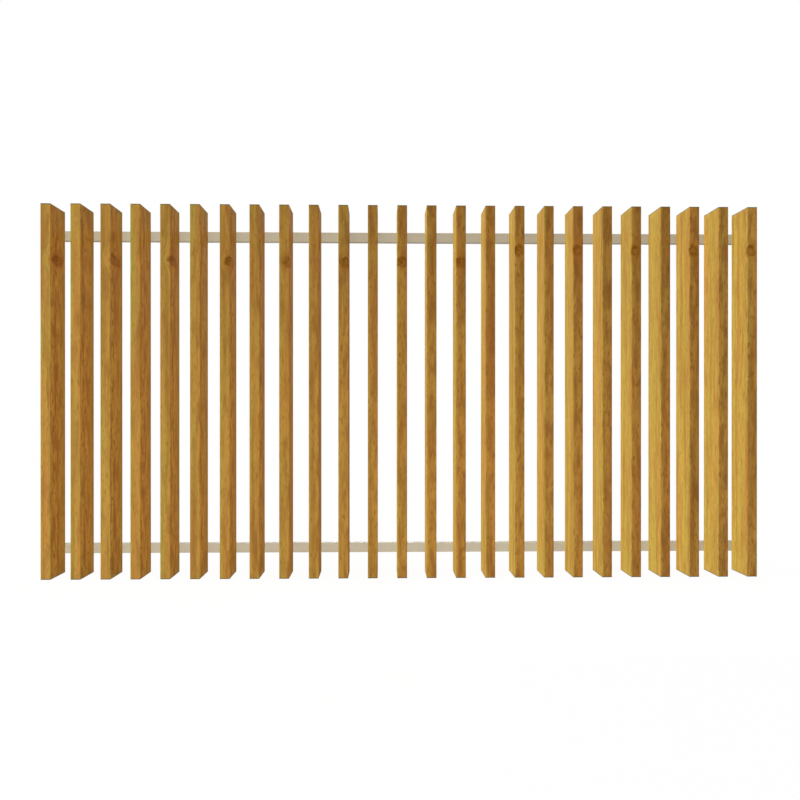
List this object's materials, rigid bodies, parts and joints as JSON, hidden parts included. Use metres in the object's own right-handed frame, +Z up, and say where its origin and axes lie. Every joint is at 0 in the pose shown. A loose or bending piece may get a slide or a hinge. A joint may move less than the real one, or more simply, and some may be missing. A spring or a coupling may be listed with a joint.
{
  "type": "aluminium blade fence panel",
  "caption": "Fence panel of deep upright hollow aluminium blades with a wood-grain finish, screwed from behind to two pale channel rails.",
  "frame": {"origin": "on the ground under the middle of the panel's width and depth", "axes": "+Z up, +X along the rails to the right as seen from the front, the blades' narrow faces look along -Y and the rails lie at +Y"},
  "size_m": [1.825, 0.12, 0.95],
  "materials": {
    "blade_finish": "golden pine wood-grain powder coat on extruded aluminium, satin",
    "cap_plastic": "moulded plastic, brown, fine texture",
    "rail_coat": "champagne powder coat on extruded aluminium, satin",
    "screw_zinc": "zinc plated steel"
  },
  "bodies": {
    "root": {"blade_01": "blade_finish", "blade_02": "blade_finish", "blade_03": "blade_finish", "blade_04": "blade_finish", "blade_05": "blade_finish", "blade_06": "blade_finish", "blade_07": "blade_finish", "blade_08": "blade_finish", "blade_09": "blade_finish", "blade_10": "blade_finish", "blade_11": "blade_finish", "blade_12": "blade_finish", "blade_13": "blade_finish", "blade_14": "blade_finish", "blade_15": "blade_finish", "blade_16": "blade_finish", "blade_17": "blade_finish", "blade_18": "blade_finish", "blade_19": "blade_finish", "blade_20": "blade_finish", "blade_21": "blade_finish", "blade_22": "blade_finish", "blade_23": "blade_finish", "blade_24": "blade_finish", "blade_25": "blade_finish", "top_cap_01": "cap_plastic", "top_cap_02": "cap_plastic", "top_cap_03": "cap_plastic", "top_cap_04": "cap_plastic", "top_cap_05": "cap_plastic", "top_cap_06": "cap_plastic", "top_cap_07": "cap_plastic", "top_cap_08": "cap_plastic", "top_cap_09": "cap_plastic", "top_cap_10": "cap_plastic", "top_cap_11": "cap_plastic", "top_cap_12": "cap_plastic", "top_cap_13": "cap_plastic", "top_cap_14": "cap_plastic", "top_cap_15": "cap_plastic", "top_cap_16": "cap_plastic", "top_cap_17": "cap_plastic", "top_cap_18": "cap_plastic", "top_cap_19": "cap_plastic", "top_cap_20": "cap_plastic", "top_cap_21": "cap_plastic", "top_cap_22": "cap_plastic", "top_cap_23": "cap_plastic", "top_cap_24": "cap_plastic", "top_cap_25": "cap_plastic", "bottom_caps": "cap_plastic", "bottom_rail": "rail_coat", "top_rail": "rail_coat", "bottom_rail_screws": "screw_zinc", "top_rail_screws": "screw_zinc"}
  },
  "joints": []
}
